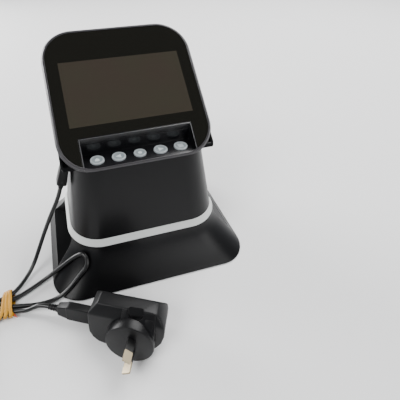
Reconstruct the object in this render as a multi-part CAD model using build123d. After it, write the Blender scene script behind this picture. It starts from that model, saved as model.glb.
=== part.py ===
"""Film negative scanner: flared base, tapered neck, reclined square display head, five round
buttons on a ledge, and a power lead with a wall adapter lying beside it.

Millimetres. +X is the viewer's right, +Y is away from the viewer, +Z is up.
The model is drawn with Y = 0 at the middle of the base, then every piece is moved along Y by
one shared amount, so that the origin is under the middle of the whole scanner, on the floor.
"""
from build123d import *
import math
import os

os.makedirs("parts", exist_ok=True)

# ---- base ---------------------------------------------------------------------------------
base_half_width = 98.0
base_depth = 141.0
base_corner = 28.0
base_wall = 2.6
base_clear = 1.2            # the skirt's rim stands this far off the floor
skirt_top = 35.6
skirt_curve = 1.5           # how fast the skirt sweeps outwards, 1 is straight
skirt_deck = 3.0            # thickness of the skirt's top plate
cover_thickness = 2.4
cover_gap = 0.3
foot_radius = 7.0
foot_sink = 0.8
foot_fit = 0.05
foot_inset_x = 26.0
foot_inset_y = 24.0
boss_radius = 3.6
base_screw_radius = 1.5
base_screw_head = 2.8
base_screw_length = 9.0
base_screw_inset_x = 38.0    # from the base's sides, so that the screws stay clear of the feet
base_screw_inset_y = 19.5    # from its front and rear
base_screw_x = base_half_width - base_screw_inset_x
base_screw_y = base_depth / 2 - base_screw_inset_y
screw_head_height = 1.4
screw_fit = 0.04
screw_bore_gap = 0.2
screw_spare = 2.0           # a hole runs this far past its screw
screw_cross = 0.6

# ---- neck ---------------------------------------------------------------------------------
neck_bottom_half = 71.8
neck_front = -39.1
neck_rear = 57.5
neck_corner = 29.3
neck_corner_top = 24.0
neck_side_slope = 0.181     # inward per mm of height
neck_front_slope = 0.28
neck_rear_slope = 0.06
neck_wall = 2.2
neck_split = 12.0           # parting plane between the front and the rear shell
neck_seam = 0.1
neck_boss_x = 54.0
neck_boss_front = -24.0
neck_boss_rear = 42.0
neck_boss_rib = 2.0
neck_boss_height = 22.0
neck_screw_length = 12.0
well_half = 46.0
well_front = -18.0
well_rear = 36.0
well_corner = 8.0

# ---- light ring ---------------------------------------------------------------------------
ring_flare = 3.8            # how far the ring's foot stands out past the neck
ring_shoulder = 0.5         # how far its top edge does
ring_inner = 3.6            # how far it reaches in under the neck
ring_height = 6.4

# ---- film channel and scoops --------------------------------------------------------------
tray_floor = 8.0
slot_height = 9.0
scoop_inner_x = 73.0
scoop_flare_front = 12.0
scoop_flare_rear = 18.0
scoop_front = -24.0
scoop_rear = 33.0
scoop_wall = 2.0
guide_thickness = 2.4
rail_width = 2.0
window_x = 38.0
window_y = 27.0
optic_y = 4.0
diffuser_lip = 2.0
diffuser_thickness = 1.6
lamp_board_x = 52.0
lamp_board_y = 40.0
lamp_board_thickness = 1.2
lamp_size = 3.0
lamp_height = 0.8
lamp_pitch = 9.0
guide_gap = 0.1
guide_leg = 4.0             # radius of the lower guide's four legs
guide_leg_inset = 8.0
diffuser_fit = 0.05
lamp_columns = 4
lamp_rows = 3

# ---- optics -------------------------------------------------------------------------------
tower_x = 46.0
tower_y = 38.0
tower_height = 66.0
tower_wall = 1.8
lens_shelf = 36.0           # above the tower's foot
lens_shelf_thickness = 4.0
barrel_radius = 9.0
barrel_length = 20.0
barrel_flange = 11.5
barrel_flange_height = 1.6
barrel_fit = 0.05
lens_radius = 7.0
lens_thickness = 2.4
lens_fit = 0.03
lens_inset = 1.0            # from each end of the barrel
barrel_above = 6.0          # less than the barrel's length that lies below the shelf
sensor_board_thickness = 1.6
sensor_size = 12.0
sensor_height = 1.6

# ---- head ---------------------------------------------------------------------------------
glass_tilt = 36.17          # the glass leans back this far from lying flat
head_y = 33.96
head_z = 148.88
head_half_width = 69.2
head_up = 66.3              # from the head's centre to its top edge, along the glass
head_down = 69.6
head_corner = 30.2
rim_width = 3.0
rim_depth = 4.6
rim_chamfer = 1.6
rim_gap = 0.3               # between the rim piece and the display
glass_thickness = 1.5
glass_gap = 0.15
glass_sink = 0.3
case_inset = 0.8
case_straight = 13.0
case_depth = 25.0
case_taper = 7.0
case_corner_low = 11.0
case_wall = 2.2
case_neck_gap = 4.0         # the hole into the neck stays this far inside the neck's wall
head_floor = 107.4          # the head's flat underside
lcd_width = 110.7
lcd_height = 62.3
lcd_border = 4.5
lcd_v = 2.5
lcd_thickness = 2.6
lcd_frame_wall = 0.6
board_x = 104.0
board_v_middle = 5.0
board_v = 70.0
board_thickness = 1.6
board_drop = 12.0           # the main board's front face, below the glass plane
chip_size = 16.0
chip_height = 1.4
chip_x = -10.0
chip_v = 8.0
card_slot_x = 26.0
card_slot_v = 22.0
card_slot_height = 2.8
card_v = 12.0
card_reach = 15.0           # the card socket starts this far inside the board's edge
card_rim = 0.5
post_radius = 3.2
head_screw_radius = 1.3
head_screw_head = 2.5
head_screw_length = 12.0
head_sink = 1.2
head_bore_gap = 0.2
board_screw_length = 5.0
case_screw_x = 52.0
case_screw_v = 47.0
board_screw_x = 47.0
board_screw_v = (34.0, -24.0)
ribbon_width = 22.0
ribbon_thickness = 0.3
ribbon_v = -22.0

# ---- button ledge -------------------------------------------------------------------------
recess_half = 49.3
recess_top = 40.1           # from the head's centre down to the notch's upper edge
recess_back = 1.5           # the notch's upright rear wall
recess_wall = 1.2
ledge_top = 109.0
ledge_thickness = 1.6
groove = 0.5
groove_z = 119.6
button_count = 5
button_pitch = 18.8
button_y = -8.9
button_radius = 6.1
middle_radius = 5.5
button_proud = 1.3
button_dish = 0.35
button_rim = 1.5
button_fit = 0.1
button_travel = 0.6
collar_extra = 0.9
collar_height = 1.0
collar_gap = 0.15
stem_radius = 1.8
stem_length = 3.2
switch_size = 6.0
switch_height = 3.0
switch_nub = 1.5
switch_gap = 0.2
switch_nub_height = 0.8
button_board_x = 92.0
button_board_y = 15.0
button_board_thickness = 1.6
button_post = 2.4
button_mark = 1.7           # half length of the arrow on a side button

# ---- lead: plug and socket at the scanner ---------------------------------------------------
cord_diameter = 3.9
plug_x = -64.6
plug_y = 1.5
plug_lean = 18.0
plug_length = 24.5
plug_top = 7.0
plug_bottom = 9.4
plug_depth = 10.6
plug_round = 2.0
plug_gap = 1.4
tip_x = 1.9
tip_y = 6.8
tip_length = 6.2
socket_wall = 0.35
socket_fit = 0.06
socket_end = 1.0

# ---- lead: cord, by points chosen along the way it lies -------------------------------------
cord_floor = 2.1            # height of the cord's middle where it lies flat
cord_exit = 8.0             # straight out of the plug
scanner_points = [
    (-79.8, -1.2, 64.5), (-87.6, -4.4, 52.5), (-94.6, -7.6, 40.5), (-101.2, -12.0, 29.3),
    (-107.2, -17.6, 19.4), (-112.6, -23.4, 11.4), (-117.6, -29.4, 6.6), (-123.4, -36.2, 4.2),
    (-129.0, -43.0, 3.4), (-135.0, -48.0, 3.2), (-142.5, -50.8, 3.2), (-149.5, -50.8, 3.0)]
loop_points = [
    (-149.5, -50.8, 3.0), (-156.5, -50.8, 2.8), (-165.0, -45.5, 2.3), (-175.0, -36.5, 2.1),
    (-189.0, -36.0, 2.1), (-196.5, -47.0, 2.1), (-190.5, -59.0, 2.1), (-176.5, -63.0, 2.1),
    (-163.0, -59.5, 2.3), (-150.5, -55.9, 2.8), (-138.0, -54.4, 3.2), (-127.0, -51.0, 2.6),
    (-116.7, -45.9, 2.1), (-106.5, -40.6, 2.3), (-95.5, -38.0, 7.2), (-84.2, -38.9, 16.9),
    (-73.8, -38.9, 25.3), (-63.4, -41.0, 31.2), (-61.8, -50.4, 24.2), (-71.0, -53.4, 16.5),
    (-80.9, -58.9, 8.9), (-91.6, -62.4, 2.8), (-103.3, -64.3, 2.1), (-115.4, -63.7, 2.2),
    (-128.0, -61.4, 2.8), (-141.0, -59.3, 3.2), (-150.5, -61.8, 2.7), (-160.5, -68.0, 2.1),
    (-169.5, -73.1, 2.1), (-177.1, -73.1, 2.1)]
plug_points = [
    (-177.1, -127.4, 6.5), (-168.5, -127.4, 6.5), (-159.0, -121.5, 4.4), (-152.9, -111.0, 2.4),
    (-151.2, -97.5, 2.1), (-152.8, -84.5, 2.2), (-151.2, -75.2, 2.5), (-145.9, -68.0, 3.0),
    (-137.8, -64.7, 3.2), (-128.8, -65.8, 3.0), (-121.0, -67.9, 4.0), (-114.4, -68.9, 7.8)]
coil_x = -181.0
coil_y = -98.0
coil_radius = 24.9          # outermost turn, to the cord's middle
coil_pitch = 4.5            # between turns of one layer
coil_layer = 4.4            # between the two layers
coil_half_turns = 7
tie_length = 6.0            # along the bundle
tie_x = -138.5
tie_front = -69.3
tie_rear = -44.9
tie_low = 0.15
tie_high = 6.1
tie_wall = 0.7
tie_round = 2.0

# ---- wall adapter, in its own axes: u to its right, v up its face, t back from its face ------
adapter_x = -41.4
adapter_y = -125.3
adapter_heading = -27.0
adapter_lean = 14.0         # its face looks up by this much
face_radius = 19.2
face_front = 8.0            # the block's front, behind the round face
plate_front = 3.5
plate_left = -10.0
plate_right = 19.0
plate_low = -8.0
plate_shoulder = 11.5
block_left = -36.0
block_right = 25.5
block_shoulder = 15.0
block_top = 24.8
block_top_left = -29.0
block_top_right = 19.0
block_top_front = 12.0
block_top_rear = 24.0
block_rear = 32.0
block_edge = 3.0
scallop_radius = 9.0
scallop_u = 2.2
scallop_v = 27.0
scallop_t = 5.0
pin_u = 2.0
pin_v = 6.85
pin_turn = 30.0
pin_width = 6.35
pin_thickness = 1.6
pin_length = 17.0
pin_sleeve = 9.0
pin_root = 2.5
pin_core = 0.5              # the metal inside a sleeve is thinner by this on each side of its width
pin_fit = 0.05

# ---- flat USB plug in the adapter's left end ------------------------------------------------
usb_v = -3.5
usb_t = 21.0
usb_shell_v = 12.0
usb_shell_t = 4.5
usb_shell_wall = 0.4
usb_shell_shown = 3.0
usb_shell_in = 9.0          # inside the adapter
usb_shell_held = 4.0        # inside the plug
usb_fit = 0.1
usb_length = 29.0
usb_taper = 9.0
usb_height = 15.0
usb_thick = 7.6
usb_tail_height = 9.5
usb_tail_thick = 6.6
usb_round = 1.2
relief_length = 9.0
relief_radius = 3.0
relief_end = 2.4
relief_groove = 0.6
relief_grooves = 3


# ---- helpers ------------------------------------------------------------------------------
def turn(degrees):
    return math.radians(degrees)


tilt_cos = math.cos(turn(glass_tilt))
tilt_sin = math.sin(turn(glass_tilt))


def head_plane(depth):
    """The plane that lies `depth` below the glass, with its Y axis up the glass."""
    origin = (0, head_y + depth * tilt_sin, head_z - depth * tilt_cos)
    return Plane(origin=origin, x_dir=(1, 0, 0), z_dir=(0, -tilt_sin, tilt_cos))


def head_point(v, depth):
    """Y and Z of a point on the head, `v` up the glass and `depth` below it."""
    y = head_y + v * tilt_cos + depth * tilt_sin
    z = head_z + v * tilt_sin - depth * tilt_cos
    return y, z


def box(x0, x1, y0, y1, z0, z1):
    centre = ((x0 + x1) / 2, (y0 + y1) / 2, (z0 + z1) / 2)
    return Pos(*centre) * Box(x1 - x0, y1 - y0, z1 - z0)


def rod(x, y, z0, z1, radius):
    return Pos(x, y, (z0 + z1) / 2) * Cylinder(radius, z1 - z0)


def outline(half_width, y0, y1, corner, z):
    """A rounded rectangle, flat at height z."""
    middle = Location((0, (y0 + y1) / 2, z))
    return middle * RectangleRounded(2 * half_width, y1 - y0, corner)


def one(shape):
    """The largest solid of a cut or a fuse, with any crumbs left out."""
    return max(shape.solids(), key=lambda s: s.volume)


def node(name, *solids):
    made[name] = solids[0] if len(solids) == 1 else Compound(children=list(solids))


made = {}

# ---- skirt profile ------------------------------------------------------------------------
ring_half = neck_bottom_half + ring_flare
ring_front = neck_front - ring_flare
ring_rear = neck_rear + ring_flare
ring_corner = neck_corner + ring_flare
skirt_slant = base_wall + 0.9   # the wall measured level, where the skirt slopes
cover_top = base_clear + cover_thickness
deck_under = skirt_top - skirt_deck
slot_top = tray_floor + slot_height
slot_front = scoop_front
slot_rear = scoop_rear
base_front = -base_depth / 2
base_rear = base_depth / 2


def skirt_share(z):
    """1 at the rim, 0 at the top."""
    k = (z - base_clear) / (skirt_top - base_clear)
    return (1 - min(max(k, 0), 1)) ** skirt_curve


def skirt_section(z, inset):
    share = skirt_share(z)
    half = ring_half + (base_half_width - ring_half) * share - inset
    front = ring_front + (base_front - ring_front) * share + inset
    rear = ring_rear + (base_rear - ring_rear) * share - inset
    corner = ring_corner + (base_corner - ring_corner) * share - inset
    return outline(half, front, rear, corner, z)


def skirt_solid(inset, z0, z1):
    steps = 5
    sections = []
    for i in range(steps + 1):
        z = z0 + (z1 - z0) * i / steps
        sections.append(skirt_section(z, inset))
    return loft(sections)


# ---- neck profile -------------------------------------------------------------------------
neck_foot = skirt_top + ring_height


def neck_section(z, inset):
    rise = z - neck_foot
    half = neck_bottom_half - neck_side_slope * rise - inset
    front = neck_front + neck_front_slope * rise + inset
    rear = neck_rear - neck_rear_slope * rise - inset
    share = rise / (head_floor - neck_foot)
    corner = neck_corner + (neck_corner_top - neck_corner) * share - inset
    return outline(half, front, rear, corner, z)


neck_high = 150.0


def neck_solid(inset, z0, z1):
    return loft([neck_section(z0, inset), neck_section(z1, inset)])


def head_block(depth):
    """Everything above the head's underside and in front of a plane `depth` below the glass."""
    big = 400
    above = Pos(0, 0, head_floor + big / 2) * Box(big, big, big)
    forward = head_plane(depth) * (Pos(0, 0, big / 2) * Box(big, big, big))
    return above & forward


# ---- base pieces --------------------------------------------------------------------------
def scoop_plan(side, grow):
    """The scoop seen from above: narrow at the slot, wider at the outer edge."""
    far = base_half_width + 6
    run = far - scoop_inner_x
    full = base_half_width - scoop_inner_x
    out_front = scoop_front - scoop_flare_front * run / full - grow
    out_rear = scoop_rear + scoop_flare_rear * run / full + grow
    inner = (scoop_inner_x - grow) * side
    outer = far * side
    points = [(inner, scoop_front - grow), (outer, out_front), (outer, out_rear)]
    points.append((inner, scoop_rear + grow))
    return make_face(Polyline(*points, close=True).edges())


def scoop(side, grow, z0, z1):
    face = scoop_plan(side, grow)
    return Pos(0, 0, z0) * extrude(face, z1 - z0, dir=(0, 0, 1))


def make_skirt():
    whole = skirt_solid(0, base_clear, skirt_top)
    body = whole - skirt_solid(skirt_slant, base_clear, deck_under)
    for side in (-1, 1):
        pocket = scoop(side, scoop_wall, tray_floor - scoop_wall, deck_under)
        body = body + one(pocket & whole)
    for x in (-base_screw_x, base_screw_x):
        for y in (-base_screw_y, base_screw_y):
            post = rod(x, y, cover_top, deck_under, boss_radius)
            body = body + one(post & whole)
            hole = rod(x, y, cover_top, cover_top + base_screw_length, base_screw_radius)
            body = body - hole
    for side in (-1, 1):
        body = body - scoop(side, 0, tray_floor, skirt_top + 5)
        reach = scoop_inner_x - scoop_wall / 2
        wall = Pos(side * reach, (slot_front + slot_rear) / 2, tray_floor + slot_height / 2)
        body = body - wall * Box(2 * scoop_wall, slot_rear - slot_front, slot_height)
    well = outline(well_half, well_front, well_rear, well_corner, deck_under - 1)
    body = body - extrude(well, skirt_deck + 2, dir=(0, 0, 1))
    for x in (-neck_boss_x, neck_boss_x):
        for y in (neck_boss_front, neck_boss_rear):
            body = body - rod(x, y, deck_under - 1, skirt_top + 1, base_screw_radius)
    return one(body)


def make_cover():
    plate = skirt_section(cover_top, skirt_slant + cover_gap)
    body = extrude(plate, cover_thickness, dir=(0, 0, -1))
    for x, y in foot_places:
        body = body - rod(x, y, base_clear, base_clear + foot_sink, foot_radius + foot_fit)
    for x in (-base_screw_x, base_screw_x):
        for y in (-base_screw_y, base_screw_y):
            body = body - rod(x, y, base_clear, cover_top, base_screw_radius)
            body = body - rod(x, y, base_clear, base_clear + screw_head_height, screw_bore)
    return one(body)


def screw(x, y, z, length, head_radius, shank_radius):
    """A pan screw pointing up, its head's upper face at z."""
    head = rod(x, y, z - screw_head_height, z, head_radius)
    cross = Pos(x, y, z - screw_head_height) * Box(head_radius * 1.2, screw_cross, screw_cross)
    return head + rod(x, y, z, z + length, shank_radius - screw_fit) - cross


foot_x = base_half_width - foot_inset_x
foot_y = base_rear - foot_inset_y
foot_places = [(-foot_x, -foot_y), (foot_x, -foot_y), (-foot_x, foot_y), (foot_x, foot_y)]
screw_bore = base_screw_head + screw_bore_gap


def make_ring():
    low = outline(ring_half, ring_front, ring_rear, ring_corner, skirt_top)
    edge = ring_shoulder
    high = outline(neck_bottom_half + edge, neck_front - edge, neck_rear + edge,
                   neck_corner + edge, neck_foot)
    body = loft([low, high])
    hole = outline(neck_bottom_half - ring_inner, neck_front + ring_inner,
                   neck_rear - ring_inner, neck_corner - ring_inner, skirt_top - 1)
    return one(body - extrude(hole, ring_height + 2, dir=(0, 0, 1)))


def make_neck(front):
    body = neck_solid(0, neck_foot, neck_high) - neck_solid(neck_wall, neck_foot, neck_high)
    y = neck_boss_front if front else neck_boss_rear
    keep = neck_solid(0.5, neck_foot, neck_high)
    for side in (-1, 1):
        x = side * neck_boss_x
        body = body + rod(x, y, skirt_top, skirt_top + neck_boss_height, boss_radius)
        rib_x = side * (neck_boss_x + neck_bottom_half) / 2
        rib_z = (neck_foot + skirt_top + neck_boss_height) / 2
        rib = Pos(rib_x, y, rib_z) * Box(neck_bottom_half - neck_boss_x, neck_boss_rib,
                                         skirt_top + neck_boss_height - neck_foot)
        body = body + one(rib & keep)
        body = body - rod(x, y, skirt_top, skirt_top + neck_screw_length, base_screw_radius)
    body = body - head_block(case_depth)
    edge = neck_split - neck_seam / 2 if front else neck_split + neck_seam / 2
    far = -200 if front else 200
    half = box(-200, 200, min(edge, far), max(edge, far), 0, 300)
    return one(body & half)


# ---- film channel and optics --------------------------------------------------------------
guide_half = scoop_inner_x - scoop_wall - guide_gap
guide_front = slot_front - rail_width
guide_rear = slot_rear + rail_width
tower_foot = slot_top + guide_thickness
tower_top = tower_foot + tower_height
shelf_top = tower_foot + lens_shelf + lens_shelf_thickness


def window(z0, z1, grow):
    half_x = window_x / 2 + grow
    half_y = window_y / 2 + grow
    return box(-half_x, half_x, optic_y - half_y, optic_y + half_y, z0, z1)


def make_lower_guide():
    under = tray_floor - guide_thickness
    body = box(-guide_half, guide_half, guide_front, guide_rear, under, tray_floor)
    body = body + box(-guide_half, guide_half, guide_front, slot_front, under, slot_top)
    body = body + box(-guide_half, guide_half, slot_rear, guide_rear, under, slot_top)
    inset = guide_leg_inset
    for x in (-guide_half + inset, guide_half - inset):
        for y in (guide_front + inset, guide_rear - inset):
            body = body + rod(x, y, cover_top, under, guide_leg)
    body = body - window(under, tray_floor, 0)
    return one(body - window(tray_floor - diffuser_thickness, tray_floor, diffuser_lip))


def make_upper_guide():
    body = box(-guide_half, guide_half, guide_front, guide_rear, slot_top, tower_foot)
    return one(body - window(slot_top, tower_foot, 0))


def make_tower():
    half_x = tower_x / 2
    front = optic_y - tower_y / 2
    rear = optic_y + tower_y / 2
    body = box(-half_x, half_x, front, rear, tower_foot, tower_top)
    body = body - box(-half_x + tower_wall, half_x - tower_wall, front + tower_wall,
                      rear - tower_wall, tower_foot, tower_top)
    shelf = box(-half_x, half_x, front, rear, tower_foot + lens_shelf, shelf_top)
    body = body + shelf
    bore = barrel_radius + barrel_fit
    return one(body - rod(0, optic_y, tower_foot, tower_top, bore))


def make_barrel():
    low = shelf_top - barrel_length + barrel_above
    body = rod(0, optic_y, low, low + barrel_length, barrel_radius)
    body = body + rod(0, optic_y, shelf_top, shelf_top + barrel_flange_height, barrel_flange)
    return body - rod(0, optic_y, low, low + barrel_length, lens_radius), low


# ---- head pieces --------------------------------------------------------------------------
head_middle = (head_up - head_down) / 2
head_length = head_up + head_down


def head_outline(inset):
    face = RectangleRounded(2 * (head_half_width - inset), head_length - 2 * inset,
                            head_corner - inset)
    return Pos(0, head_middle) * face


def head_slab(face, near, far):
    """The face pushed through the head from depth `near` to depth `far`."""
    return extrude(head_plane(far) * face, far - near, dir=(0, -tilt_sin, tilt_cos))


def head_rod(x, v, near, far, radius):
    return head_slab(Pos(x, v) * Circle(radius), near, far)


def head_box(width, height, v, near, far, x=0.0):
    return head_slab(Pos(x, v) * Rectangle(width, height), near, far)


def above_floor(z):
    return box(-300, 300, -300, 300, z, z + 400)


def notch(grow):
    """The space over the button ledge, open towards the viewer."""
    half = recess_half + grow
    return box(-half, half, -200, recess_back + grow, ledge_top - grow, 300)


def case_face(inset):
    width = 2 * (head_half_width - case_inset - inset)
    height = head_length - 2 * case_inset - 2 * inset
    face = Pos(0, head_middle) * Rectangle(width, height)
    low = face.vertices().sort_by(Axis.Y)[:2]
    face = fillet(low, case_corner_low - inset / 2)
    high = face.vertices().sort_by(Axis.Y)[-2:]
    return fillet(high, head_corner - case_inset - inset / 2)


def case_solid(inset, near, far):
    straight = head_slab(case_face(inset), near, case_straight)
    low = head_plane(case_straight) * case_face(inset)
    high = head_plane(far) * case_face(inset + case_taper)
    return straight + loft([low, high])


glass_back = glass_sink + glass_thickness
case_inside = case_depth - case_wall
board_back = board_drop + board_thickness
head_screw_bore = head_screw_head + head_bore_gap
case_screws = [(-case_screw_x, case_screw_v), (case_screw_x, case_screw_v)]
board_screws = []
for v in board_screw_v:
    board_screws.append((-board_screw_x, v))
    board_screws.append((board_screw_x, v))
lcd_back = glass_back + lcd_thickness


def make_bezel():
    body = head_slab(head_outline(0), 0, rim_depth)
    top = body.edges().group_by(Axis((0, 0, 0), (0, -tilt_sin, tilt_cos)))[-1]
    body = chamfer(top, rim_chamfer)
    body = body - head_slab(head_outline(rim_width), -1, glass_back)
    grow = 2 * lcd_border + 2 * rim_gap
    body = body - head_box(lcd_width + grow, lcd_height + grow, lcd_v, glass_back,
                           rim_depth + 1)
    for x, v in case_screws:
        body = body + head_rod(x, v, rim_depth - 0.5, case_inside, post_radius)
        body = body - head_rod(x, v, case_inside - head_screw_length, case_inside + 1,
                               head_screw_radius)
    body = body & above_floor(head_floor)
    return one(body - ledge_room())


def ledge_room():
    """Room for the ledge piece inside the rim."""
    inside = head_slab(head_outline(rim_width), -10, 60)
    half = recess_half + recess_wall + glass_gap
    room = box(-half, half, -200, recess_back + recess_wall + glass_gap, head_floor - 5, 300)
    return room & inside


def make_glass():
    body = head_slab(head_outline(rim_width + glass_gap), glass_sink, glass_back)
    half = recess_half + recess_wall + glass_gap
    room = box(-half, half, -200, recess_back + recess_wall + glass_gap, head_floor - 5, 300)
    return one(body - room)


def make_ledge():
    half = recess_half + recess_wall
    rear = recess_back + recess_wall
    body = box(-half, half, -200, rear, head_floor, 300) - notch(0)
    body = body & head_slab(head_outline(rim_width + glass_gap), glass_sink, 60)
    line = box(-recess_half, recess_half, recess_back - 0.1, recess_back + groove,
               groove_z, groove_z + groove)
    body = body - line
    for x in button_places:
        body = body - rod(x, button_y, head_floor - 1, ledge_top + 1,
                          button_size(x) + button_fit)
    for x in post_places:
        body = body + rod(x, button_y, board_top, head_floor, button_post)
        body = body - rod(x, button_y, board_top, board_top + board_screw_length + 1,
                          head_screw_radius)
    return one(body)


def make_case():
    body = case_solid(0, rim_depth, case_depth) & above_floor(head_floor)
    hollow = case_solid(case_wall, rim_depth - 1, case_inside)
    body = body - (hollow & above_floor(head_floor + case_wall))
    body = body - ledge_room()
    inside = neck_section(head_floor, neck_wall + case_neck_gap)
    hole = Pos(0, 0, -2) * extrude(inside, 8, dir=(0, 0, 1))
    keep_front = box(-200, 200, recess_back + recess_wall + 2 * recess_wall, 200, 0, 300)
    body = body - (hole & keep_front)
    for x, v in case_screws:
        body = body - head_rod(x, v, case_inside - 1, case_depth + 1, head_screw_radius)
        body = body - head_rod(x, v, case_depth - head_sink, case_depth + 1, head_screw_bore)
        body = body - head_rod(x, v, rim_depth - 1, case_inside, post_radius + head_bore_gap)
    for x, v in board_screws:
        body = body + head_rod(x, v, board_back, case_inside + 0.1, post_radius)
        body = body - head_rod(x, v, board_back, board_back + board_screw_length + 1,
                               head_screw_radius)
    body = body - plug_tip(socket_fit + socket_wall, 0, 2 * tip_length)
    body = body - card_mouth()
    return one(body)


def card_mouth():
    near = board_back + card_rim
    return head_box(40, card_slot_v - 2 * card_rim, card_v, near,
                    board_back + card_slot_height - card_rim, x=head_half_width)


def head_screw(x, v, near, length, head_depth):
    """A screw from the rear: its shank starts at `near`, its head ends at `head_depth`."""
    body = head_rod(x, v, near, head_depth, head_screw_radius - screw_fit)
    return body + head_rod(x, v, head_depth - head_sink, head_depth, head_screw_head)


def make_head_screws():
    screws = []
    for x, v in case_screws:
        screws.append(head_screw(x, v, case_depth - head_screw_length, 0, case_depth))
    return screws


def make_board_screws():
    screws = []
    for x, v in board_screws:
        shank = head_rod(x, v, board_drop, board_back + board_screw_length,
                         head_screw_radius - screw_fit)
        screws.append(shank + head_rod(x, v, board_drop - head_sink, board_drop,
                                       head_screw_head))
    return screws


def make_board():
    body = head_box(board_x, board_v, board_v_middle, board_drop, board_back)
    for x, v in board_screws:
        body = body - head_rod(x, v, board_drop - 1, board_back + 1, head_screw_radius)
    return one(body)


# ---- buttons ------------------------------------------------------------------------------
button_places = [button_pitch * (i - (button_count - 1) / 2) for i in range(button_count)]
post_places = [-button_pitch * 1.5, button_pitch * 1.5]


def button_size(x):
    return middle_radius if abs(x) < button_pitch / 2 else button_radius


collar_top = head_floor - collar_gap
stem_end = collar_top - collar_height - stem_length
nub_top = stem_end - button_travel - switch_gap
board_top = nub_top - switch_nub_height - switch_height


def make_button(x, mark):
    radius = button_size(x)
    top = ledge_top + button_proud
    body = rod(x, button_y, collar_top, top, radius)
    body = body - rod(x, button_y, top - button_dish, top + 1, radius - button_rim)
    body = body + rod(x, button_y, collar_top - collar_height, collar_top,
                      radius + collar_extra)
    body = body + rod(x, button_y, stem_end, collar_top - collar_height, stem_radius)
    floor = top - button_dish
    if mark:
        size = button_mark * mark
        points = [(x - size, button_y), (x + size * 0.7, button_y + button_mark),
                  (x + size * 0.7, button_y - button_mark)]
        face = make_face(Polyline(*points, close=True).edges())
        body = body + Pos(0, 0, floor) * extrude(face, button_dish * 0.6, dir=(0, 0, 1))
    return one(body)


def make_switches():
    parts = []
    half = switch_size / 2
    for x in button_places:
        base = box(x - half, x + half, button_y - half, button_y + half,
                   board_top, board_top + switch_height)
        parts.append(base + rod(x, button_y, board_top + switch_height, nub_top, switch_nub))
    return parts


def make_button_board():
    half_x = button_board_x / 2
    half_y = button_board_y / 2
    body = box(-half_x, half_x, button_y - half_y, button_y + half_y,
               board_top - button_board_thickness, board_top)
    for x in post_places:
        body = body - rod(x, button_y, board_top - 5, board_top + 1, head_screw_radius)
    return one(body)


def make_button_screws():
    low = board_top - button_board_thickness
    parts = []
    for x in post_places:
        head = rod(x, button_y, low - head_sink, low, head_screw_head)
        parts.append(head + rod(x, button_y, low, board_top + board_screw_length,
                                head_screw_radius - screw_fit))
    return parts


# ---- power plug at the scanner --------------------------------------------------------------
plug_z = head_floor - plug_gap
plug_dir = (-math.sin(turn(plug_lean)), 0, -math.cos(turn(plug_lean)))
plug_plane = Plane(origin=(plug_x, plug_y, plug_z), x_dir=(0, 1, 0),
                   z_dir=plug_dir)


def plug_tip(grow, start, length):
    """The metal tip's outline run up from the plug, `grow` larger all round."""
    face = Rectangle(tip_y + 2 * grow, tip_x + 2 * grow)
    path = extrude(plug_plane * (Pos(0, 0, -start) * face), length,
                   dir=tuple(-c for c in plug_dir))
    return path


def make_plug_body():
    near_round = plug_round * plug_top / plug_bottom
    first = plug_plane * RectangleRounded(plug_depth * plug_top / plug_bottom + 1, plug_top,
                                          near_round)
    far = Pos(0, 0, plug_length)
    last = plug_plane * (far * RectangleRounded(plug_depth, plug_bottom, plug_round))
    body = loft([first, last])
    edge = body.edges().group_by(Axis((0, 0, 0), plug_dir))[-1]
    return fillet(edge, plug_round / 2)


def make_plug_tip():
    return plug_tip(0, 0, tip_length + plug_gap)


def make_socket():
    start = plug_gap + (case_wall + head_bore_gap) / math.cos(turn(plug_lean)) + socket_end
    end = tip_length + plug_gap
    outer = plug_tip(socket_fit + socket_wall, start, end + socket_end - start)
    inner = plug_tip(socket_fit, start - 1, end + socket_end / 2 - start + 1)
    return one(outer - inner)


# ---- cord -----------------------------------------------------------------------------------
def along(start, direction, distance):
    return tuple(a + distance * d for a, d in zip(start, direction))


def between(a, b):
    return Vector(*b) - Vector(*a)


def cord_tube(name, points):
    """Straight runs joined by arcs as large as the runs allow, with a round section."""
    radii = []
    for before, here, after in zip(points, points[1:], points[2:]):
        bend = math.radians(between(before, here).get_angle(between(here, after)))
        run = min(between(before, here).length, between(here, after).length)
        radii.append(0.45 * run / math.tan(bend / 2))
    path = FilletPolyline(*points, radius=radii)
    start = Plane(origin=points[0], z_dir=between(points[0], points[1]))
    tube = sweep(start * Circle(cord_diameter / 2), path=path)
    plain = math.pi * (cord_diameter / 2) ** 2 * path.length
    print(name, "length", round(path.length, 1), "volume", round(tube.volume / plain, 4))
    print("  radii", [round(r, 1) for r in radii])
    lengths.append(path.length)
    return tube.solids()[0]


def coil_point(radius_out, side, height):
    """A point of the coil: `radius_out` towards +Y of its middle, `side` towards -X."""
    return (coil_x - side, coil_y + radius_out, height)


def coil_path():
    """Half circles that spiral in on the floor, climb a layer, and spiral out again."""
    middle = coil_half_turns // 2
    low = cord_floor
    place = coil_radius
    pieces = [Line(along(coil_point(place, 0, low), (1, 0, 0), cord_diameter),
                   coil_point(place, 0, low))]
    for i in range(coil_half_turns):
        radius = coil_radius - min(i, coil_half_turns - 1 - i) * coil_pitch / 2
        way = 1 if i % 2 == 0 else -1
        high = low + coil_layer if i == middle else low
        end = place - 2 * radius * way
        top = coil_point((place + end) / 2, radius * way, (low + high) / 2)
        pieces.append(ThreePointArc(coil_point(place, 0, low), top, coil_point(end, 0, high)))
        place = end
        low = high
    end = coil_point(place, 0, low)
    pieces.append(Line(end, along(end, (1, 0, 0), cord_diameter)))
    return Wire([p.edge() for p in pieces])


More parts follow.
